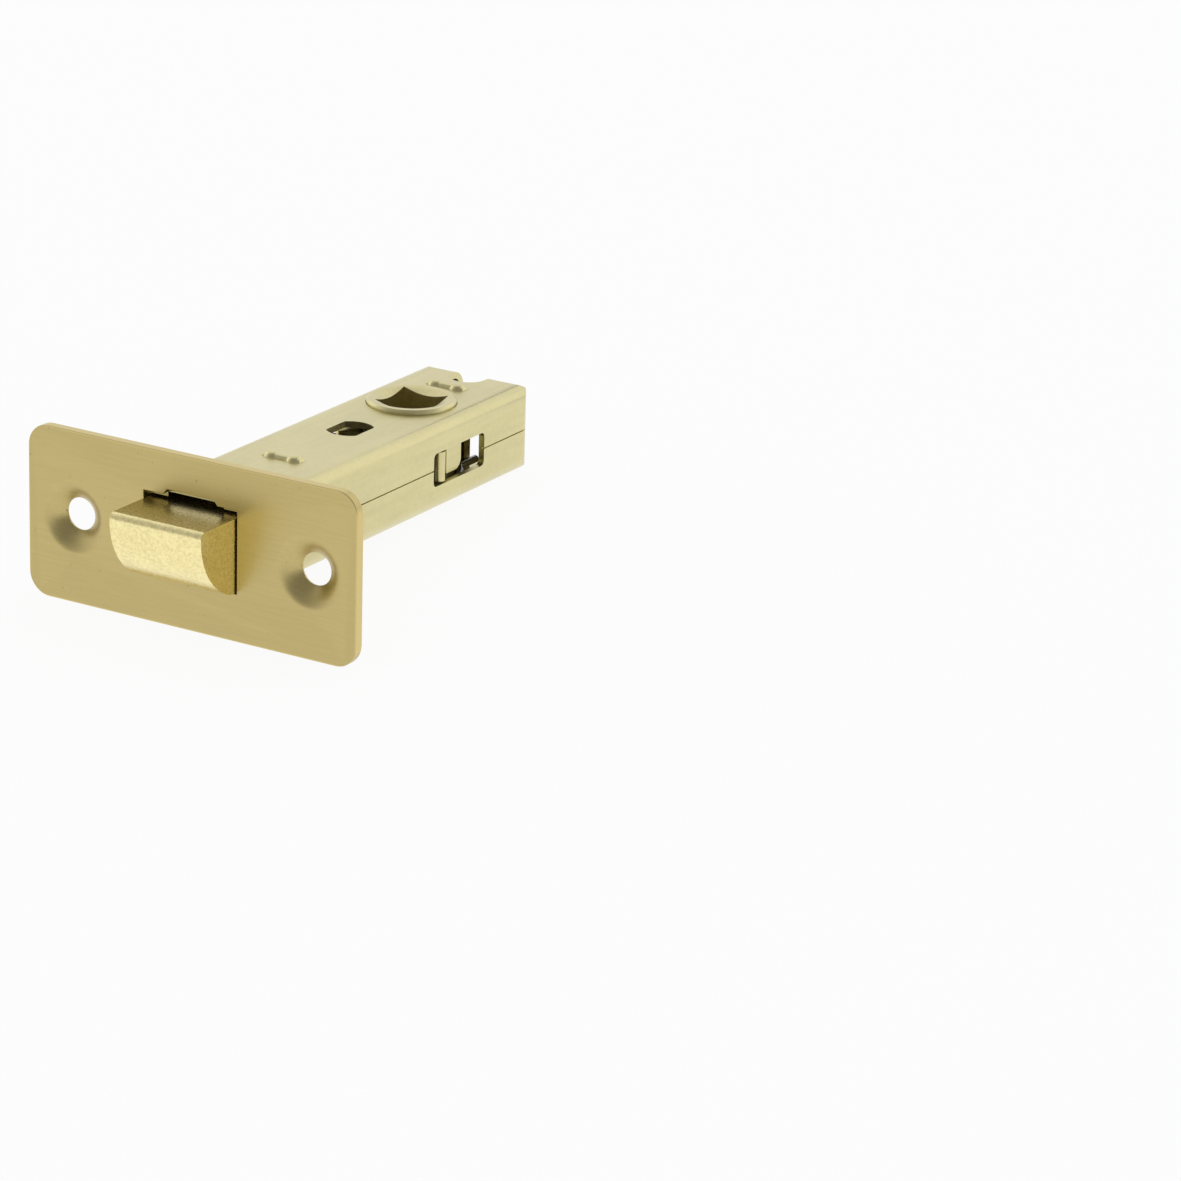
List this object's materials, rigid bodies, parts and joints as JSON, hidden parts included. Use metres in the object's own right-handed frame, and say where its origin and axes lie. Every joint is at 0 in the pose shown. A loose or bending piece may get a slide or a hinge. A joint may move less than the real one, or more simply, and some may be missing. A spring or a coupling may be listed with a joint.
{
  "type": "tubular latch",
  "caption": "Tubular mortice latch: sprung bevelled bolt through a rectangular forend, two-part case, square-drive follower with side fingers and bolt-through holes.",
  "frame": {"origin": "centre of the forend's front face", "axes": "+X along the forend's length, +Y into the door along the case, +Z along the spindle's axis, away from the bolt's bevel"},
  "size_m": [0.057, 0.0844, 0.026],
  "materials": {
    "satin_plate": "brushed brass plating over steel",
    "case_plating": "pale yellow plating over pressed steel",
    "bolt_plating": "plated, satin",
    "works_steel": "plated steel",
    "spring_steel": "spring wire"
  },
  "bodies": {
    "case": {"forend_plate": "satin_plate", "case_shell_top": "case_plating", "case_shell_bottom": "case_plating", "front_bridge": "case_plating", "rear_bridge": "case_plating", "follower_spring": "spring_steel"},
    "bolt": {"latch_bolt": "bolt_plating", "bolt_tail": "works_steel", "tail_pin": "works_steel", "bolt_spring": "spring_steel"},
    "slide": {"slide_plate": "works_steel"},
    "follower": {"follower": "case_plating"}
  },
  "joints": [
    {"name": "follower_turn", "type": "hinge", "parent": "case", "child": "follower", "pos_m": [0, 0.057, 0], "axis": [0, 0, 1], "range_deg": [0, 48], "stiffness_Nm_per_rad": 0.2, "springref_deg": -28.65, "deforming": ["follower_spring"]},
    {"name": "slide_travel", "type": "slide", "parent": "case", "child": "slide", "axis": [0, 1, 0], "range_m": [0, 0.0088]},
    {"name": "bolt_travel", "type": "slide", "parent": "case", "child": "bolt", "axis": [0, 1, 0], "range_m": [0, 0.0088], "stiffness_N_per_m": 400, "springref_m": -0.006, "deforming": ["bolt_spring"]}
  ],
  "couplings": [
    {"joint": "slide_travel", "follows": "bolt_travel", "ratio": 1},
    {"joint": "follower_turn", "follows": "bolt_travel", "rad_per_m": 95.19}
  ]
}
